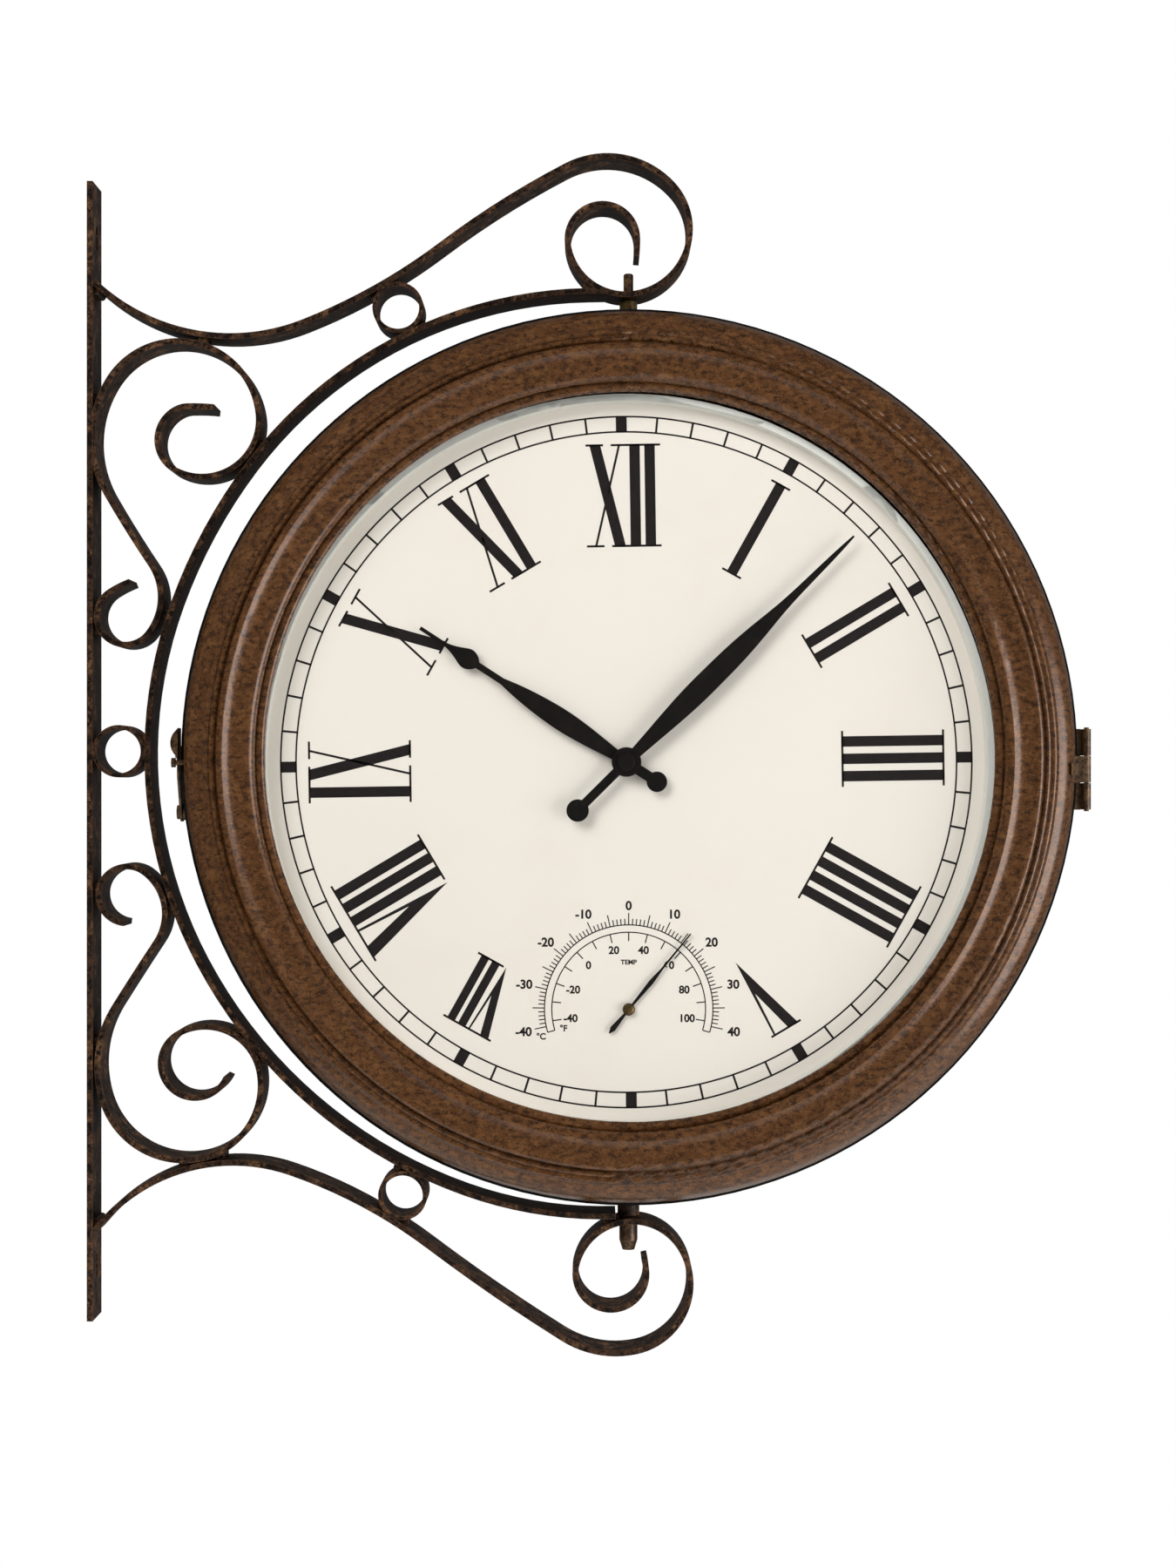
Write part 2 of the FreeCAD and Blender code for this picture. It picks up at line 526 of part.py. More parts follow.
def movement(cx, cz):
    """Movement housing, its cover and nut, the motion work, the cell and its contacts."""
    half = MOVEMENT_SIDE / 2
    back, front = MOVEMENT_DEPTH
    inner = half - MOVEMENT_WALL
    cover_front = back + MOVEMENT_WALL
    floor = front - MOVEMENT_WALL
    a = math.radians(SETTING_ANGLE)
    sx = cx + GEAR_CENTRES * math.cos(a)
    sz = cz + GEAR_CENTRES * math.sin(a)
    body = block((cx - half, cx + half), (back, front), (cz - half, cz + half))
    upright_edges = [edge for edge in body.Edges if edge.BoundBox.YLength > 1]
    body = body.makeFillet(4.0, upright_edges)
    gear_room = block((cx - inner, cx + inner), (back, floor), (cz + GEAR_ROOM_FLOOR, cz + inner))
    cell_room = block((cx - inner, cx + inner), (back, floor), (cz - inner, cz + CELL_ROOM_TOP))
    bush = rod(BUSH_RADIUS, front - 0.5, 29.8, cx, cz)
    housing = body.cut([gear_room, cell_room]).fuse(bush)
    housing = housing.cut([rod(BUSH_BORE, 20, 32, cx, cz), rod(0.9, 22, floor + 0.8, sx, sz)])
    cover = block((cx - inner, cx + inner), (back, cover_front), (cz + GEAR_ROOM_FLOOR, cz + inner))
    cover = cover.cut([rod(0.9, 0, 20, sx, sz), rod(1.3, back + 0.6, 20, cx, cz)])
    nut = Part.Face(Part.makePolygon([Vector(cx + 6.3 * math.cos(math.radians(60 * k)), -28.9,
                                             cz + 6.3 * math.sin(math.radians(60 * k))) for k in range(7)]))
    nut = nut.extrude(Vector(0, 28.9 - DIAL_DEPTH[1], 0)).cut(rod(BUSH_RADIUS, 20, 32, cx, cz))
    pinion = gear(CANNON_TEETH, 0.5, LOW_MESH, cx, cz, SETTING_ANGLE)
    arbor = pinion.fuse([rod(1.2, back + 0.8, 13.0, cx, cz), rod(1.5, 13.0, 33.2, cx, cz),
                         rod(1.0, 33.2, 34.6, cx, cz)])
    tube_bore = 1.5 + RUNNING_GAP
    hour_tube = rod(BUSH_BORE - RUNNING_GAP, HIGH_MESH[0], HOUR_HAND_DEPTH[1], cx, cz)
    high_module = 2 * GEAR_CENTRES / (MINUTE_PINION_TEETH + HOUR_WHEEL_TEETH)
    hour_phase = SETTING_ANGLE + 180 / HOUR_WHEEL_TEETH
    hour_wheel = gear(HOUR_WHEEL_TEETH, high_module, HIGH_MESH, cx, cz, hour_phase)
    hour_wheel = hour_wheel.fuse(hour_tube).cut(rod(tube_bore, 10, 40, cx, cz))
    towards_hub = SETTING_ANGLE + 180
    low_module = 2 * GEAR_CENTRES / (CANNON_TEETH + MINUTE_WHEEL_TEETH)
    setting = gear(MINUTE_WHEEL_TEETH, low_module, LOW_MESH, sx, sz, towards_hub + 180 / MINUTE_WHEEL_TEETH)
    setting = setting.fuse([gear(MINUTE_PINION_TEETH, high_module, HIGH_MESH, sx, sz, towards_hub),
                            rod(0.85, 5.0, floor + 0.6, sx, sz), tube(0.8, 2.0, 15.0, 18.0, sx, sz),
                            tube(0.8, 5.0, 4.5, 9.0, sx, sz)])
    cell_z = cz + BATTERY_Z
    reach = BATTERY_LENGTH / 2
    end = Vector(cx - reach, -BATTERY_DEPTH, cell_z)
    cell = Part.makeCylinder(BATTERY_RADIUS, BATTERY_LENGTH - 1.3, end, Vector(1, 0, 0))
    button = Vector(cx + reach - 1.5, -BATTERY_DEPTH, cell_z)
    cell = cell.fuse(Part.makeCylinder(2.7, 1.5, button, Vector(1, 0, 0)))
    contacts = []
    for side in (-1, 1):
        x = sorted((side * (reach + 0.5), side * (reach + 1.0)))
        leaf_spring = block((cx + x[0], cx + x[1]), (12.0, 23.0), (cell_z - 5, cell_z + 5))
        touch = Vector(cx + side * reach, -BATTERY_DEPTH, cell_z)
        bump = Part.makeCylinder(2.0, 0.5, touch, Vector(side, 0, 0))
        contacts.append(leaf_spring.fuse(bump))
    return {"movement_housing": housing, "movement_cover": cover, "movement_nut": nut,
            "minute_arbor": arbor, "hour_wheel": hour_wheel, "setting_wheel": setting,
            "battery": cell, "battery_contacts": Part.makeCompound(contacts)}


def thermometer(cx, cz):
    """Bimetal thermometer: cup behind the dial, coil, and the needle on its arbor."""
    back, front = CUP_DEPTH
    cup = turned([(0, back), (CUP_RADIUS, back), (CUP_RADIUS, front), (CUP_RADIUS - 0.8, front),
                  (CUP_RADIUS - 0.8, back + 0.8), (0, back + 0.8)], cx, cz)
    first = 3.0
    bends = []
    for half_turn in range(2 * COIL_TURNS):
        bends.append((math.pi * (first + COIL_PITCH / 4 + half_turn * COIL_PITCH / 2), 180.0))
    coil = bent_bar((cx + first + COIL_PITCH / 2, cz), 90.0, bends, *COIL_DEPTH, 0.5)
    right = [(width, distance) for distance, width in NEEDLE_POINTER]
    right += [(width, -distance) for distance, width in NEEDLE_TAIL]
    right.sort(key=lambda point: point[1])
    blade = plate(right + [(-width, place) for width, place in reversed(right)], *NEEDLE_DEPTH, cx, cz)
    hub = turned([(0, 28.0), (NEEDLE_HUB_RADIUS, 28.0), (NEEDLE_HUB_RADIUS, 29.0),
                  (2.0, 29.7, 0.8, 30.0), (0, 30.0)], cx, cz)
    arbor = rod(0.6, back + 1.2, 29.2, cx, cz)
    needle = clockwise(blade.fuse(arbor), NEEDLE_ANGLE, cx, cz)
    return {"thermometer_cup": cup, "thermometer_coil": coil, "thermometer_hub": hub.cut(needle),
            "thermometer_needle": needle}


def face_pieces():
    """Every piece of the front face, from the bezel to the thermometer."""
    cx = CASE_X + DIAL_SHIFT[0]
    cz = CASE_Z + DIAL_SHIFT[1]
    tx = cx + THERMO_OFFSET[0]
    tz = cz + THERMO_OFFSET[1]
    dial = tube(BUSH_RADIUS + 0.1, DIAL_RADIUS, *DIAL_DEPTH, cx, cz).cut(rod(1.2, 20, 30, tx, tz))
    minute = tailed_hand([leaf(MINUTE_LEAF)], MINUTE_TAIL, MINUTE_HAND_DEPTH, cx, cz, MINUTE_ANGLE, 1.5)
    hour_faces = [leaf(HOUR_LEAF), strip_face(1.4, 60.0, 76.0), leaf(HOUR_DROP),
                  strip_face(0.8, 88.0, HOUR_TIP)]
    hour = tailed_hand(hour_faces, HOUR_TAIL, HOUR_HAND_DEPTH, cx, cz, HOUR_ANGLE, BUSH_BORE - RUNNING_GAP)
    cap = turned([(1.0, 33.2), (3.7, 33.2), (3.7, 34.4), (3.0, 35.1), (0, 35.1), (0, 34.6),
                  (1.0, 34.6)], cx, cz)
    pieces = {"bezel": bezel(),
              "glass": rod(GLASS_RADIUS, *GLASS_DEPTH),
              "spacer_ring": tube(*SPACER_RADII, DIAL_DEPTH[1], GLASS_DEPTH[0], cx, cz),
              "dial": dial, "minute_hand": minute, "hour_hand": hour, "hand_cap": cap}
    pieces.update(movement(cx, cz))
    pieces.update(thermometer(tx, tz))
    return pieces


def make_faces():
    """The front face, and the same face turned half a turn for the rear."""
    for name, shape in face_pieces().items():
        rear = shape.copy()
        rear.rotate(Vector(CASE_X, 0, 0), Vector(0, 0, 1), 180)
        if name == "bezel":
            rear = rear.cut(bezel_screw_shanks())
        keep("front_" + name, shape)
        keep("rear_" + name, rear)


def main():
    """Build every node and write one STEP file for each."""
    arms = make_bracket()
    make_band()
    make_bezel_screws()
    make_pins(*arms)
    make_hinge()
    make_catch()
    make_faces()
    os.makedirs("parts", exist_ok=True)
    for name, shape in sorted(NODES.items()):
        shape.exportStep("parts/" + name + ".step")
        print(name, "solids", len(shape.Solids), "valid", shape.isValid(), "volume %.1f" % shape.Volume)


main()
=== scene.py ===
"""Dresses and lights a double sided station clock on its scrolled wall bracket.

Metres, in the CAD frame: +Z up, +X away from the wall, the front dial looks along -Y. The dials'
print is drawn as (right, up) about a dial's hub in millimetres and then placed on each face.
"""

import json
import logging
import math
from dataclasses import dataclass
from enum import Enum

import bmesh
import bpy
from mathutils import Matrix, Vector


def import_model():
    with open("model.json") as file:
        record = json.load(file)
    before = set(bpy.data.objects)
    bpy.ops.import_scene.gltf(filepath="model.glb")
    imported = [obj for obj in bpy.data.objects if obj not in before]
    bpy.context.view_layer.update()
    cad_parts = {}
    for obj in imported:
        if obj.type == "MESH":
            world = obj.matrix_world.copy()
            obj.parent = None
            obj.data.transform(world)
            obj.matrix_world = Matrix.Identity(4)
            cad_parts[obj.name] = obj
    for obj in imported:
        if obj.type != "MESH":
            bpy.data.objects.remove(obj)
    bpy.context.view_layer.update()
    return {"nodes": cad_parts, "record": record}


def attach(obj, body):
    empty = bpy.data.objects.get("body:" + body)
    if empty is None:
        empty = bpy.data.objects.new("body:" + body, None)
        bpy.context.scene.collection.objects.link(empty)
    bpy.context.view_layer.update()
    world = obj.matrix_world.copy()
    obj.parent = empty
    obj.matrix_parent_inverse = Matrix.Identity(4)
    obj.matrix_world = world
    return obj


logging.basicConfig(level=logging.INFO, format="%(message)s")
LOG = logging.getLogger("clock")

MM = 0.001
CASE_X = 231.4 * MM
HUB = (230.1, -4.8)
THERMOMETER = (1.0, -103.8)
DIAL_FACE = 27.0
PRINT_LIFT = 0.04

Colour = tuple[float, float, float]
Point = tuple[float, float]


class Side(Enum):
    """The two faces of the clock, with the body that carries each."""

    FRONT = "door"
    REAR = "case"

    @property
    def prefix(self) -> str:
        """Start of the names of this face's nodes."""
        return self.name.lower() + "_"


def srgb(red: int, green: int, blue: int) -> Colour:
    """Linear colour from display values of 0 to 255."""
    shares = (red / 255, green / 255, blue / 255)
    return tuple(c / 12.92 if c < 0.0405 else ((c + 0.055) / 1.055) ** 2.4 for c in shares)


class Graph:
    """Short hand for filling a node tree."""

    def __init__(self, tree: bpy.types.NodeTree) -> None:
        """Keep the tree that is filled."""
        self.tree = tree

    def add(self, kind: str, **settings: object) -> bpy.types.Node:
        """Add a node, and set its properties and its named or numbered inputs.

        Args:
            kind: The node's type name.
            **settings: A property by name, or ``inputs`` with a dict of socket to value or socket.

        Returns:
            The new node.
        """
        node = self.tree.nodes.new(kind)
        inputs = settings.pop("inputs", {})
        for name, value in settings.items():
            setattr(node, name, value)
        for key, value in inputs.items():
            if isinstance(value, bpy.types.NodeSocket):
                self.tree.links.new(value, node.inputs[key])
            else:
                node.inputs[key].default_value = value
        return node

    def value(self, operation: str, *terms: object) -> bpy.types.NodeSocket:
        """One math operation on sockets or numbers."""
        return self.add("ShaderNodeMath", operation=operation, inputs=dict(enumerate(terms))).outputs[0]

    def blend(self, factor: object, first: object, second: object, mode: str = "MIX") -> bpy.types.NodeSocket:
        """Mix two colours by a factor.

        Args:
            factor: Share of the second colour, a socket or a number.
            first: First colour, as a socket or a linear colour.
            second: Second colour.
            mode: Blend mode.

        Returns:
            The mixed colour's socket.
        """
        node = self.add("ShaderNodeMix", data_type="RGBA", blend_type=mode)
        for index, value in ((0, factor), (6, first), (7, second)):
            if isinstance(value, bpy.types.NodeSocket):
                self.tree.links.new(value, node.inputs[index])
            elif index:
                node.inputs[index].default_value = (*value, 1.0)
            else:
                node.inputs[index].default_value = value
        return node.outputs[2]


class Effect:
    """A shared node group with named inputs and outputs."""

    def __init__(self, name: str, inputs: dict[str, float], outputs: dict[str, str]) -> None:
        """Make the group's interface.

        Args:
            name: The group's name.
            inputs: Name and default of each float input.
            outputs: Name and socket type of each output.
        """
        self.group = bpy.data.node_groups.new(name, "ShaderNodeTree")
        vector = self.group.interface.new_socket("Vector", in_out="INPUT", socket_type="NodeSocketVector")
        vector.hide_value = True
        for title, default in inputs.items():
            socket = self.group.interface.new_socket(title, in_out="INPUT", socket_type="NodeSocketFloat")
            socket.default_value = default
        for title, kind in outputs.items():
            self.group.interface.new_socket(title, in_out="OUTPUT", socket_type=kind)
        self.graph = Graph(self.group)
        self.source = self.graph.add("NodeGroupInput").outputs
        self.result = self.graph.add("NodeGroupOutput").inputs

    def emit(self, name: str, socket: bpy.types.NodeSocket) -> None:
        """Send a socket to a named output of the group."""
        self.group.links.new(socket, self.result[name])


class Effects:
    """The node groups that every finish shares."""

    def __init__(self) -> None:
        """Build all groups."""
        self.blotches = self._blotches()
        self.wear = self._wear()
        self.grain = self._grain()

    def _blotches(self) -> bpy.types.NodeTree:
        """Cloudy mask from two sizes of noise, for patina and stains."""
        effect = Effect("blotches", {"Scale": 60.0, "Threshold": 0.5, "Softness": 0.1},
                        {"Mask": "NodeSocketFloat", "Cloud": "NodeSocketFloat"})
        graph, source = effect.graph, effect.source
        coarse = graph.add("ShaderNodeTexNoise", inputs={"Vector": source["Vector"], "Scale": source["Scale"],
                                                         "Detail": 5.0, "Roughness": 0.62}).outputs["Fac"]
        finer = graph.value("MULTIPLY", source["Scale"], 4.3)
        fine = graph.add("ShaderNodeTexNoise", inputs={"Vector": source["Vector"], "Scale": finer,
                                                       "Detail": 3.0, "Roughness": 0.7}).outputs["Fac"]
        cloud = graph.value("ADD", graph.value("MULTIPLY", coarse, 0.6), graph.value("MULTIPLY", fine, 0.4))
        low = graph.value("SUBTRACT", source["Threshold"], source["Softness"])
        high = graph.value("ADD", source["Threshold"], source["Softness"])
        mask = graph.add("ShaderNodeMapRange", interpolation_type="SMOOTHSTEP",
                         inputs={"Value": cloud, "From Min": low, "From Max": high}).outputs["Result"]
        effect.emit("Mask", mask)
        effect.emit("Cloud", cloud)
        return effect.group

    def _wear(self) -> bpy.types.NodeTree:
        """Rounded edge normal, and a broken mask along the edges that it rounds."""
        effect = Effect("edge_wear", {"Radius": 0.0006, "Amount": 1.0},
                        {"Mask": "NodeSocketFloat", "Normal": "NodeSocketVector"})
        graph, source = effect.graph, effect.source
        bevel = graph.add("ShaderNodeBevel", samples=6, inputs={"Radius": source["Radius"]}).outputs["Normal"]
        flat = graph.add("ShaderNodeNewGeometry").outputs["Normal"]
        dot = graph.add("ShaderNodeVectorMath", operation="DOT_PRODUCT",
                        inputs={0: bevel, 1: flat}).outputs["Value"]
        edge = graph.add("ShaderNodeMapRange",
                         inputs={"Value": dot, "From Min": 0.995, "From Max": 0.8}).outputs["Result"]
        breaks = graph.add("ShaderNodeTexNoise", inputs={"Vector": source["Vector"], "Scale": 220.0,
                                                         "Detail": 3.0}).outputs["Fac"]
        broken = graph.value("MULTIPLY", edge, graph.value("MULTIPLY", breaks, 1.6))
        effect.emit("Mask", graph.value("MULTIPLY", broken, source["Amount"]))
        effect.emit("Normal", bevel)
        return effect.group

    def _grain(self) -> bpy.types.NodeTree:
        """Fine surface height for a bump."""
        effect = Effect("grain", {"Scale": 500.0, "Detail": 4.0}, {"Height": "NodeSocketFloat"})
        source = effect.source
        noise = effect.graph.add("ShaderNodeTexNoise", inputs={
            "Vector": source["Vector"], "Scale": source["Scale"], "Detail": source["Detail"]})
        effect.emit("Height", noise.outputs["Fac"])
        return effect.group


@dataclass(frozen=True)
class Finish:
    """A surface with a cloudy colour, worn edges and a fine grain."""

    name: str
    base: Colour
    dark: Colour
    light: Colour
    roughness: float = 0.5
    metallic: float = 0.0
    blotch_scale: float = 60.0
    dark_share: float = 0.5
    light_share: float = 0.58
    wear: float = 0.4
    edge: float = 0.0004
    grain_scale: float = 500.0
    bump: float = 0.15
    stretch: tuple[float, float, float] = (1.0, 1.0, 1.0)
    specular: float = 0.5

    def build(self, effects: Effects) -> bpy.types.Material:
        """Make the material.

        Args:
            effects: The shared node groups.

        Returns:
            The material.
        """
        material = bpy.data.materials.new(self.name)
        material.use_nodes = True
        material.diffuse_color = (*self.base, 1.0)
        graph = Graph(material.node_tree)
        shader = material.node_tree.nodes["Principled BSDF"]
        place = graph.add("ShaderNodeTexCoord").outputs["Object"]
        place = graph.add("ShaderNodeMapping", inputs={"Vector": place, "Scale": self.stretch}).outputs[0]
        stains = graph.add("ShaderNodeGroup", node_tree=effects.blotches, inputs={
            "Vector": place, "Scale": self.blotch_scale, "Threshold": self.dark_share, "Softness": 0.08})
        shifted = graph.add("ShaderNodeMapping",
                            inputs={"Vector": place, "Location": (3.1, 1.7, 0.6)}).outputs[0]
        patches = graph.add("ShaderNodeGroup", node_tree=effects.blotches, inputs={
            "Vector": shifted, "Scale": self.blotch_scale * 0.6, "Threshold": self.light_share,
            "Softness": 0.08})
        edges = graph.add("ShaderNodeGroup", node_tree=effects.wear, inputs={
            "Vector": place, "Radius": self.edge, "Amount": self.wear})
        colour = graph.blend(patches.outputs["Mask"], self.base, self.light)
        colour = graph.blend(stains.outputs["Mask"], self.dark, colour)
        colour = graph.blend(edges.outputs["Mask"], colour, self.light)
        grain = graph.add("ShaderNodeGroup", node_tree=effects.grain, inputs={
            "Vector": place, "Scale": self.grain_scale})
        bump = graph.add("ShaderNodeBump", inputs={"Height": grain.outputs["Height"], "Strength": self.bump,
                                                   "Distance": 0.0004, "Normal": edges.outputs["Normal"]})
        cloud = graph.value("MULTIPLY", stains.outputs["Cloud"], 0.3)
        rough = graph.value("ADD", cloud, self.roughness - 0.15)
        for key, socket in (("Base Color", colour), ("Roughness", rough), ("Normal", bump.outputs[0])):
            material.node_tree.links.new(socket, shader.inputs[key])
        shader.inputs["Metallic"].default_value = self.metallic
        shader.inputs["Specular IOR Level"].default_value = self.specular
        return material


@dataclass(frozen=True)
class Pane:
    """Thin clear glass that lets the light through to the dial."""

    name: str = "clear_glass"
    tint: Colour = (0.985, 0.99, 0.985)

    def build(self, effects: Effects) -> bpy.types.Material:
        """Make the material.

        Args:
            effects: The shared node groups.

        Returns:
            The material.
        """
        material = bpy.data.materials.new(self.name)
        material.use_nodes = True
        tree = material.node_tree
        graph = Graph(tree)
        tree.nodes.remove(tree.nodes["Principled BSDF"])
        place = graph.add("ShaderNodeTexCoord").outputs["Object"]
        haze = graph.add("ShaderNodeGroup", node_tree=effects.blotches, inputs={
            "Vector": place, "Scale": 9.0, "Threshold": 0.6, "Softness": 0.3}).outputs["Mask"]
        clear = graph.add("ShaderNodeBsdfTransparent", inputs={"Color": (*self.tint, 1.0)})
        rough = graph.value("ADD", graph.value("MULTIPLY", haze, 0.02), 0.01)
        gloss = graph.add("ShaderNodeBsdfGlossy", inputs={"Roughness": rough})
        share = graph.value("MULTIPLY", graph.add("ShaderNodeFresnel", inputs={"IOR": 1.3}).outputs[0], 0.5)
        mix = graph.add("ShaderNodeMixShader", inputs={0: share, 1: clear.outputs[0], 2: gloss.outputs[0]})
        tree.links.new(mix.outputs[0], tree.nodes["Material Output"].inputs["Surface"])
        return material


FINISHES: dict[str, Finish | Pane] = {
    "iron": Finish("aged_iron", srgb(54, 37, 26), srgb(17, 12, 10), srgb(104, 73, 48), roughness=0.5,
                   blotch_scale=200.0, dark_share=0.50, light_share=0.55, wear=0.7, edge=0.0006,
                   grain_scale=800.0, bump=0.3, specular=0.15),
    "sheet": Finish("antiqued_sheet", srgb(86, 53, 26), srgb(50, 30, 16), srgb(106, 70, 38), roughness=0.28,
                    metallic=0.2, blotch_scale=420.0, dark_share=0.47, light_share=0.52, wear=0.3,
                    edge=0.0004, grain_scale=900.0, bump=0.12, stretch=(0.75, 1.0, 1.2), specular=0.5),
    "rubber": Finish("black_rubber", (0.008, 0.008, 0.008), (0.004, 0.004, 0.004), (0.014, 0.014, 0.014),
                     roughness=0.9, wear=0.0, specular=0.05),
    "steel": Finish("dull_steel", srgb(98, 72, 44), srgb(50, 34, 22), srgb(136, 106, 72), roughness=0.38,
                    metallic=0.3, blotch_scale=220.0),
    "brass": Finish("worn_brass", srgb(112, 90, 50), srgb(64, 50, 28), srgb(146, 122, 76), roughness=0.38,
                    metallic=0.6, blotch_scale=300.0),
    "glass": Pane(),
    "white_plastic": Finish("white_plastic", (0.80, 0.79, 0.74), (0.76, 0.75, 0.70), (0.82, 0.81, 0.77),
                            roughness=0.45, blotch_scale=30.0, dark_share=0.45, light_share=0.6, wear=0.0,
                            edge=0.0003, bump=0.03),
    "dial_plate": Finish("ivory_dial", (0.855, 0.79, 0.725), (0.84, 0.77, 0.70), (0.865, 0.805, 0.74),
                         roughness=0.55, blotch_scale=14.0, dark_share=0.42, light_share=0.62, wear=0.0,
                         edge=0.0003, grain_scale=900.0, bump=0.02, specular=0.3),
    "black_plastic": Finish("black_plastic", (0.012, 0.012, 0.013), (0.008, 0.008, 0.008),
                            (0.03, 0.03, 0.03)),
    "gear_plastic": Finish("gear_plastic", (0.62, 0.61, 0.56), (0.5, 0.49, 0.45), (0.7, 0.69, 0.65),
                           roughness=0.4),
    "black_metal": Finish("black_hands", (0.008, 0.006, 0.005), (0.005, 0.004, 0.004), (0.02, 0.016, 0.013),
                          roughness=0.6, blotch_scale=200.0, dark_share=0.45, light_share=0.6, wear=0.15,
                          edge=0.0002, grain_scale=900.0, bump=0.06, specular=0.15),
    "cell": Finish("dry_cell", (0.10, 0.11, 0.13), (0.07, 0.08, 0.09), (0.2, 0.2, 0.2), roughness=0.3,
                   metallic=0.3),
    "ink": Finish("dial_ink", (0.016, 0.012, 0.012), (0.012, 0.009, 0.009), (0.022, 0.017, 0.016),
                  roughness=0.6, blotch_scale=400.0, dark_share=0.45, light_share=0.6, wear=0.0, edge=0.0001,
                  grain_scale=900.0, bump=0.02, specular=0.2),
}


class Print:
    """Flat ink on a dial, drawn in millimetres about the hub with the twelve at the top."""

    BOLD = 0.045

    def __init__(self) -> None:
        """Start with nothing drawn."""
        self.mesh = bmesh.new()

    def quad(self, corners: list[Point], turn: float = 0.0) -> None:
        """Draw one four sided patch, turned clockwise about the hub.

        Args:
            corners: Four (right, up) points, in order round the patch.
            turn: Degrees clockwise.
        """
        made = bmesh.ops.create_grid(self.mesh, x_segments=1, y_segments=1, size=1.0)["verts"]
        a = math.radians(turn)
        for vert, (x, y) in zip(made, (corners[0], corners[1], corners[3], corners[2])):
            vert.co = (x * math.cos(a) + y * math.sin(a), y * math.cos(a) - x * math.sin(a), 0.0)

    def stroke(self, foot: Point, head: Point, width: float, turn: float = 0.0) -> None:
        """Draw a straight stroke with level ends.

        Args:
            foot: Middle of the lower end.
            head: Middle of the upper end.
            width: Width, measured level.
            turn: Degrees clockwise.
        """
        half = width / 2
        self.quad([(foot[0] - half, foot[1]), (foot[0] + half, foot[1]),
                   (head[0] + half, head[1]), (head[0] - half, head[1])], turn)

    def band(self, inner: float, outer: float, start: float, end: float, centre: Point = (0.0, 0.0)) -> None:
        """Draw a band between two radii.

        Args:
            inner: Inner radius.
            outer: Outer radius.
            start: Where it starts, in degrees clockwise from the top.
            end: Where it ends.
            centre: Centre of the band.
        """
        a = math.radians(start)
        ends = []
        for radius in (inner, outer):
            place = (centre[0] + radius * math.sin(a), centre[1] + radius * math.cos(a), 0)
            ends += bmesh.ops.create_vert(self.mesh, co=place)["vert"]
        edge = self.mesh.edges.new(ends)
        bmesh.ops.spin(self.mesh, geom=ends + [edge], cent=(*centre, 0), axis=(0, 0, 1),
                       angle=-math.radians(end - start), steps=max(8, int((end - start) / 1.5)))

    def words(self, text: str, height: float, centre: Point) -> None:
        """Set a short upright text, centred on a point.

        Args:
            text: What it says.
            height: Height of its figures.
            centre: Its middle.
        """
        curve = bpy.data.curves.new("words", "FONT")
        curve.body = text
        curve.size = height * 1.4
        curve.offset = height * self.BOLD
        curve.align_x = "CENTER"
        holder = bpy.data.objects.new("words", curve)
        drawn = bpy.data.meshes.new_from_object(holder)
        drawn.transform(Matrix.Translation((centre[0], centre[1] - height / 2, 0)))
        self.mesh.from_mesh(drawn)
        bpy.data.objects.remove(holder)
        bpy.data.meshes.remove(drawn)
        bpy.data.curves.remove(curve)

    def finish(self, side: Side) -> bpy.types.Object:
        """Lay the ink on one face and let it ride with that face.

        Args:
            side: The face.

        Returns:
            The printed object.
        """
        mesh = bpy.data.meshes.new(side.prefix + "dial_print")
        self.mesh.to_mesh(mesh)
        up_right = Matrix.Rotation(math.pi / 2, 4, "X")
        lay = Matrix.Translation((HUB[0] * MM, -(DIAL_FACE + PRINT_LIFT) * MM, HUB[1] * MM))
        mesh.transform(lay @ up_right @ Matrix.Scale(MM, 4))
        if side is Side.REAR:
            pivot = Matrix.Translation((CASE_X, 0, 0))
            mesh.transform(pivot @ Matrix.Rotation(math.pi, 4, "Z") @ pivot.inverted())
        piece = bpy.data.objects.new(mesh.name, mesh)
        bpy.context.scene.collection.objects.link(piece)
        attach(piece, side.value)
        return piece


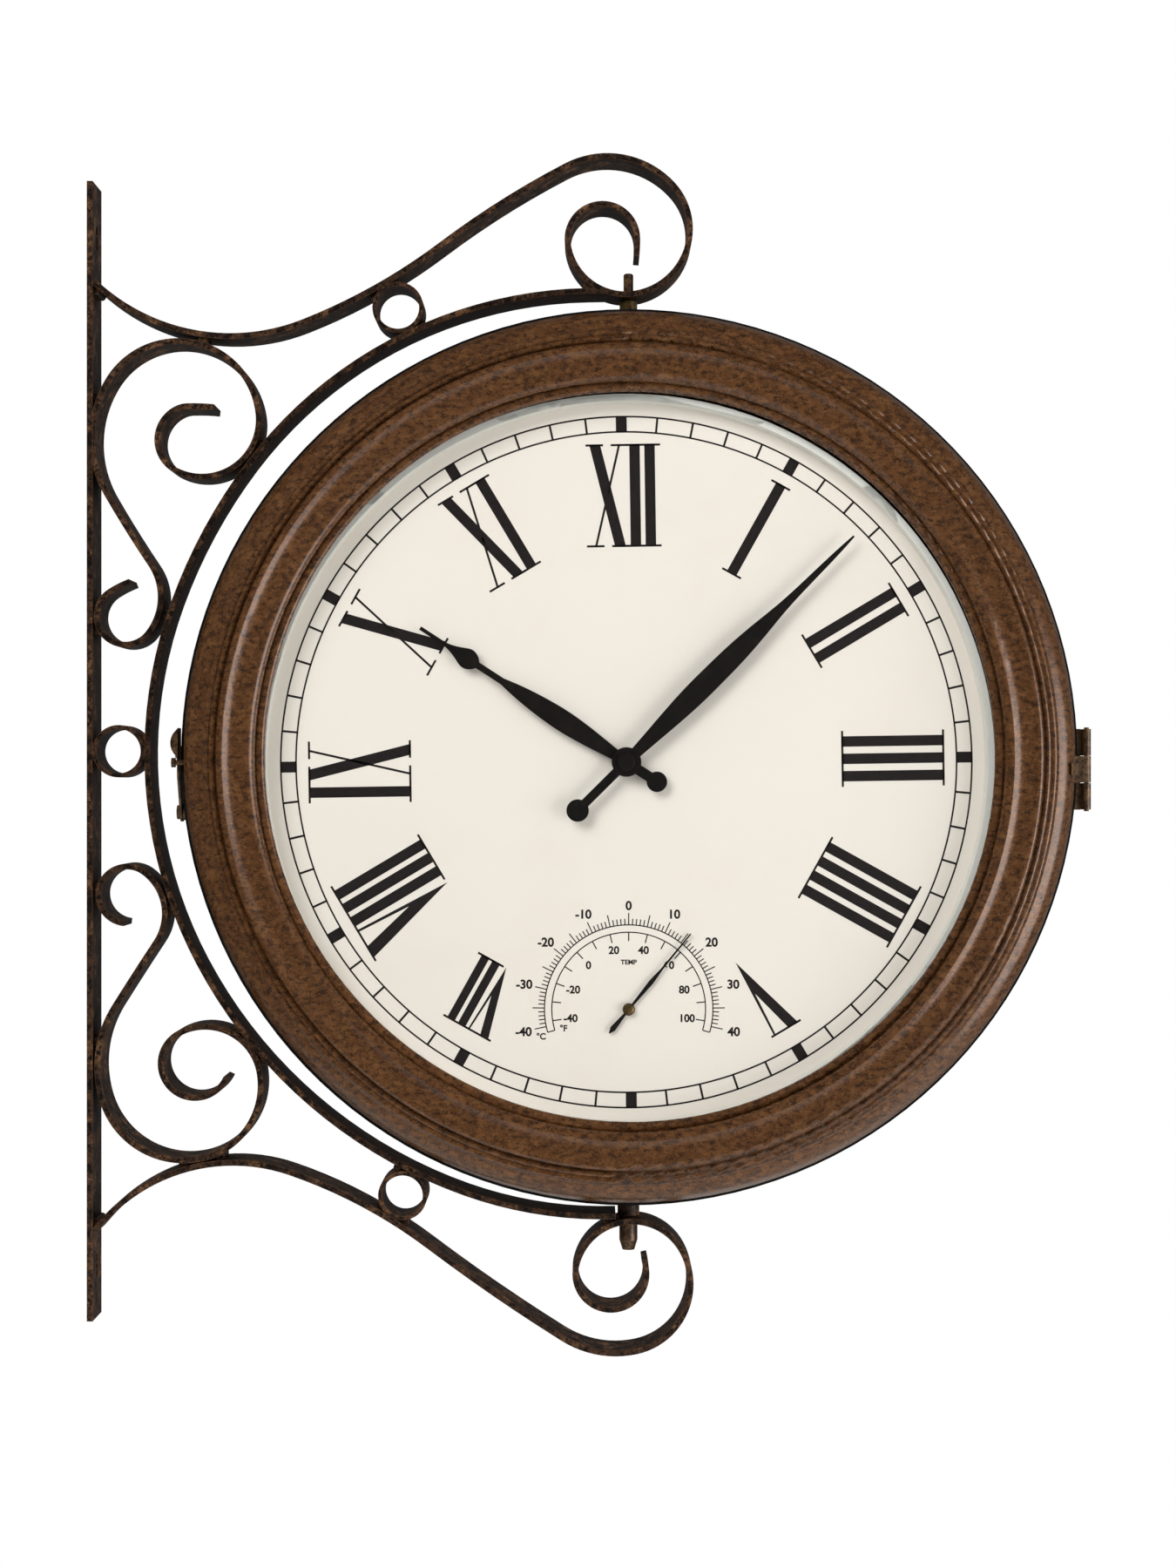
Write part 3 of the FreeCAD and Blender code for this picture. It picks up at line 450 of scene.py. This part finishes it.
@dataclass
class DialPrint:
    """Minute track, radial Roman numerals and the thermometer's two scales."""

    turn: float = -0.85
    track: tuple[float, float] = (138.8, 145.2)
    line: float = 0.72
    block: float = 4.6
    foot: float = 90.4
    head: float = 133.7
    thick: float = 4.4
    hair: float = 0.95
    serif: float = 0.9
    pitch: float = 7.3
    overhang: float = 2.3
    scale_end: float = 106.0
    scale_rings: tuple[float, float] = (32.3, 35.4)
    ring_line: float = 0.48
    tick_line: float = 0.46
    celsius: float = 2.55
    fahrenheit: float = 1.41
    fahrenheit_top: float = 30.0

    def draw(self) -> Print:
        """Draw the whole dial.

        Returns:
            The ink.
        """
        ink = Print()
        self._track(ink)
        self._numerals(ink)
        self._thermometer(ink)
        bmesh.ops.recalc_face_normals(ink.mesh, faces=ink.mesh.faces)
        for face in ink.mesh.faces:
            if face.normal.z < 0:
                face.normal_flip()
        return ink

    def _track(self, ink: Print) -> None:
        """Two rings, a tick each minute and a block each five minutes."""
        inner, outer = self.track
        ink.band(inner - self.line / 2, inner + self.line / 2, 0, 360)
        ink.band(outer - self.line / 2, outer + self.line / 2, 0, 360)
        for minute in range(60):
            width = self.block if minute % 5 == 0 else self.line * 1.25
            ink.stroke((0, inner), (0, outer), width, minute * 6 + self.turn)

    def _bars(self, ink: Print, places: list[float], foot: float, head: float, turn: float,
              scale: float = 1.0) -> None:
        """Upright bars side by side, with one thin line across their feet and one across their heads.

        Args:
            ink: What is drawn on.
            places: Middle of each bar.
            foot: Radius of the feet.
            head: Radius of the heads.
            turn: Degrees clockwise.
            scale: Share of the full size.
        """
        half = self.thick * scale / 2
        for place in places:
            ink.stroke((place, foot), (place, head), 2 * half, turn)
        reach = half + self.overhang * scale
        left, right = min(places) - reach, max(places) + reach
        for level in (foot, head - self.serif):
            top = level + self.serif
            ink.quad([(left, level), (right, level), (right, top), (left, top)], turn)

    def _five(self, ink: Print, left: float, foot: float, head: float, turn: float,
              scale: float = 1.0) -> float:
        """The V: a thick and a thin stroke that meet in a point.

        Args:
            ink: What is drawn on.
            left: Left edge of its head.
            foot: Radius of the point.
            head: Radius of the head.
            turn: Degrees clockwise.
            scale: Share of the full size.

        Returns:
            Right edge of its head.
        """
        right = left + 13.6 * scale
        tip = (left + 11.4 * scale, foot)
        inner_left = (left + 5.4 * scale, head)
        inner_right = (right - 1.0 * scale, head)
        fork = (left + 11.0 * scale, foot + 0.44 * (head - foot))
        ink.quad([(left, head), tip, fork, inner_left], turn)
        ink.quad([(right, head), inner_right, fork, tip], turn)
        ink.quad([(left - 1.6 * scale, head - self.serif), (right + 1.4 * scale, head - self.serif),
                  (right + 1.4 * scale, head), (left - 1.6 * scale, head)], turn)
        return right

    def _ten(self, ink: Print, centre: float, turn: float) -> None:
        """The X: a thick stroke down to the right, a thin one down to the left, and four serifs.

        Args:
            ink: What is drawn on.
            centre: Its middle.
            turn: Degrees clockwise.
        """
        lean = 5.2
        ink.stroke((centre + lean, self.foot), (centre - lean, self.head), self.thick * 1.04, turn)
        ink.stroke((centre - lean, self.foot), (centre + lean, self.head), self.hair, turn)
        for level in (self.foot, self.head - self.serif):
            for side in (-1, 1):
                middle = centre + side * (lean + 0.1)
                ink.quad([(middle - 3.7, level), (middle + 3.7, level),
                          (middle + 3.7, level + self.serif), (middle - 3.7, level + self.serif)], turn)

    def _numerals(self, ink: Print) -> None:
        """Every hour but the six, whose place the thermometer takes."""
        foot, head, turn = self.foot, self.head, self.turn
        self._ten(ink, -6.2, turn)
        self._bars(ink, [5.4, 11.7], foot, head, turn)
        self._bars(ink, [0.0], foot, head, 30 + turn)
        self._bars(ink, [-self.pitch / 2, self.pitch / 2], foot, head, 60 + turn)
        self._bars(ink, [-self.pitch, 0.0, self.pitch], foot, head, 90 + turn)
        self._bars(ink, [-10.2, -3.4, 3.4, 10.2], foot + 0.2, head + 0.3, 120 + turn)
        self._five(ink, -6.0, 95.8, 131.0, 150 + turn, 0.86)
        right = self._five(ink, -6.2, 99.8, 130.6, 210 + turn, 0.72)
        self._bars(ink, [right + 3.1, right + 8.2], 99.8, 130.6, 210 + turn, 0.8)
        right = self._five(ink, -16.2, foot, head, 240 + turn)
        self._bars(ink, [right + 3.9, right + 10.4, right + 16.9], foot, head, 240 + turn)
        self._bars(ink, [-10.9], foot, head, 270 + turn)
        self._ten(ink, 1.6, 270 + turn)
        self._ten(ink, 0.0, 300 + turn)
        self._ten(ink, -3.6, 330 + turn)
        self._bars(ink, [7.9], foot, head, 330 + turn)

    def _thermometer(self, ink: Print) -> None:
        """Two arcs with ticks and figures: Celsius outside, Fahrenheit inside."""
        cx, cy = THERMOMETER
        end = self.scale_end
        inner, outer = self.scale_rings
        for radius in (inner, outer):
            ink.band(radius - self.ring_line / 2, radius + self.ring_line / 2, -end, end, THERMOMETER)
        for side in (-end, end):
            self._spoke(ink, side, inner, outer, self.ring_line)
        for degree in range(-40, 41):
            reach = 40.4 if degree % 5 == 0 else 38.0
            self._spoke(ink, degree * self.celsius, outer, reach, self.tick_line)
        for degree in range(-40, 101, 10):
            angle = (degree - self.fahrenheit_top) * self.fahrenheit
            self._spoke(ink, angle, 28.6, inner, 0.5)
        for degree in range(-40, 41, 10):
            a = math.radians(degree * self.celsius)
            reach = 43.6 + 1.6 * abs(math.sin(a))
            ink.words(str(degree), 3.7, (cx + reach * math.sin(a), cy + reach * math.cos(a)))
        for degree in range(-40, 101, 20):
            a = math.radians((degree - self.fahrenheit_top) * self.fahrenheit)
            reach = 25.9 - 1.2 * abs(math.sin(a))
            ink.words(str(degree), 3.2, (cx + reach * math.sin(a), cy + reach * math.cos(a)))
        ink.words("TEMP", 2.0, (cx, cy + 19.8))
        ink.words("°C", 2.6, (cx - 36.8, cy - 11.4))
        ink.words("°F", 2.6, (cx - 27.4, cy - 8.0))

    def _spoke(self, ink: Print, angle: float, inner: float, outer: float, width: float) -> None:
        """Draw a radial tick of the thermometer.

        Args:
            ink: What is drawn on.
            angle: Degrees clockwise from the top of its arc.
            inner: Where it starts.
            outer: Where it ends.
            width: Its width.
        """
        a = math.radians(angle)
        along = Vector((math.sin(a), math.cos(a)))
        across = Vector((math.cos(a), -math.sin(a))) * width / 2
        centre = Vector(THERMOMETER)
        corners = [centre + along * inner - across, centre + along * inner + across,
                   centre + along * outer + across, centre + along * outer - across]
        ink.quad([tuple(corner) for corner in corners])


@dataclass
class Studio:
    """Pale floor, soft lamps, white backdrop and the camera of the photograph."""

    target: Vector
    camera_place: tuple[float, float, float] = (0.214, -1.100, -0.014)
    lens: float = 58.62
    floor_height: float = -0.80
    fade: tuple[float, float] = (0.7, 1.4)
    ambient: float = 0.40
    mirrored: float = 0.14

    def build(self) -> None:
        """Make everything round the object."""
        self._world()
        self._floor()
        self._lamp("key", (-0.60, -1.30, 0.85), 1.0, 23.5).visible_glossy = False
        self._lamp("fill", (1.35, -0.75, -0.25), 0.9, 15.0)
        self._lamp("back", (0.9, 1.4, 0.9), 1.2, 12.0).visible_glossy = False
        camera = bpy.data.cameras.new("camera")
        camera.lens = self.lens
        camera.sensor_width = 36.0
        holder = bpy.data.objects.new("camera", camera)
        holder.location = self.camera_place
        holder.rotation_euler = (math.pi / 2, 0, 0)
        bpy.context.scene.collection.objects.link(holder)
        bpy.context.scene.camera = holder
        bpy.context.scene.view_settings.view_transform = "Standard"

    def _world(self) -> None:
        """White where it is seen, plain grey light elsewhere and dim in what the metal mirrors."""
        world = bpy.data.worlds.new("studio")
        world.use_nodes = True
        bpy.context.scene.world = world
        graph = Graph(world.node_tree)
        paths = graph.add("ShaderNodeLightPath").outputs
        seen = graph.value("MAXIMUM", paths["Is Camera Ray"], paths["Is Transmission Ray"])
        dimming = graph.value("MULTIPLY", paths["Is Glossy Ray"], self.mirrored - self.ambient)
        plain_light = graph.value("ADD", dimming, self.ambient)
        strength = graph.add("ShaderNodeMapRange",
                             inputs={"Value": seen, "To Min": plain_light, "To Max": 1.0})
        background = world.node_tree.nodes["Background"]
        background.inputs["Color"].default_value = (1, 1, 1, 1)
        world.node_tree.links.new(strength.outputs["Result"], background.inputs["Strength"])

    def _floor(self) -> None:
        """Pale round floor that fades out at its rim."""
        mesh = bpy.data.meshes.new("floor")
        drawn = bmesh.new()
        bmesh.ops.create_circle(drawn, cap_ends=True, segments=96, radius=1.5)
        drawn.to_mesh(mesh)
        drawn.free()
        floor = bpy.data.objects.new("floor", mesh)
        floor.location = (self.target.x, self.target.y, self.floor_height)
        bpy.context.scene.collection.objects.link(floor)
        material = bpy.data.materials.new("pale_floor")
        material.use_nodes = True
        graph = Graph(material.node_tree)
        place = graph.add("ShaderNodeTexCoord").outputs["Object"]
        reach = graph.add("ShaderNodeVectorMath", operation="LENGTH", inputs={0: place}).outputs["Value"]
        fade = graph.add("ShaderNodeMapRange", interpolation_type="SMOOTHSTEP",
                         inputs={"Value": reach, "From Min": self.fade[0], "From Max": self.fade[1],
                                 "To Min": 1.0, "To Max": 0.0})
        shader = material.node_tree.nodes["Principled BSDF"]
        shader.inputs["Base Color"].default_value = (0.86, 0.86, 0.85, 1)
        shader.inputs["Roughness"].default_value = 0.9
        material.node_tree.links.new(fade.outputs["Result"], shader.inputs["Alpha"])
        mesh.materials.append(material)

    def _lamp(self, name: str, place: tuple[float, float, float], size: float,
              power: float) -> bpy.types.Object:
        """Add a square soft lamp that faces the object.

        Args:
            name: Its name.
            place: Where it stands.
            size: Its side.
            power: Watts.

        Returns:
            The lamp.
        """
        lamp = bpy.data.lights.new(name, "AREA")
        lamp.size = size
        lamp.energy = power
        holder = bpy.data.objects.new(name, lamp)
        holder.location = place
        holder.rotation_euler = (self.target - Vector(place)).to_track_quat("-Z", "Y").to_euler()
        bpy.context.scene.collection.objects.link(holder)
        return holder


def paint_nodes(frame: dict, materials: dict[str, bpy.types.Material]) -> None:
    """Give every CAD node the finish of its material slot.

    Args:
        frame: The loaded frame.
        materials: Finish by slot name.
    """
    slots = {part["node"]: part["material_slot"] for part in frame["record"]["subparts"]}
    for name, node in frame["nodes"].items():
        for holder in node.material_slots:
            holder.link = "OBJECT"
            holder.material = materials[slots[name]]
        LOG.info("painted %s with %s", name, slots[name])


def main() -> None:
    """Dress the clock, print its dials and light it."""
    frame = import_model()
    effects = Effects()
    materials = {name: finish.build(effects) for name, finish in FINISHES.items()}
    paint_nodes(frame, materials)
    for side in Side:
        piece = DialPrint().draw().finish(side)
        piece.data.materials.append(materials["ink"])
        LOG.info("built %s with %d faces", piece.name, len(piece.data.polygons))
    Studio(target=Vector((CASE_X, 0.0, 0.0))).build()
    bpy.context.view_layer.update()


if __name__ == "__main__":
    main()
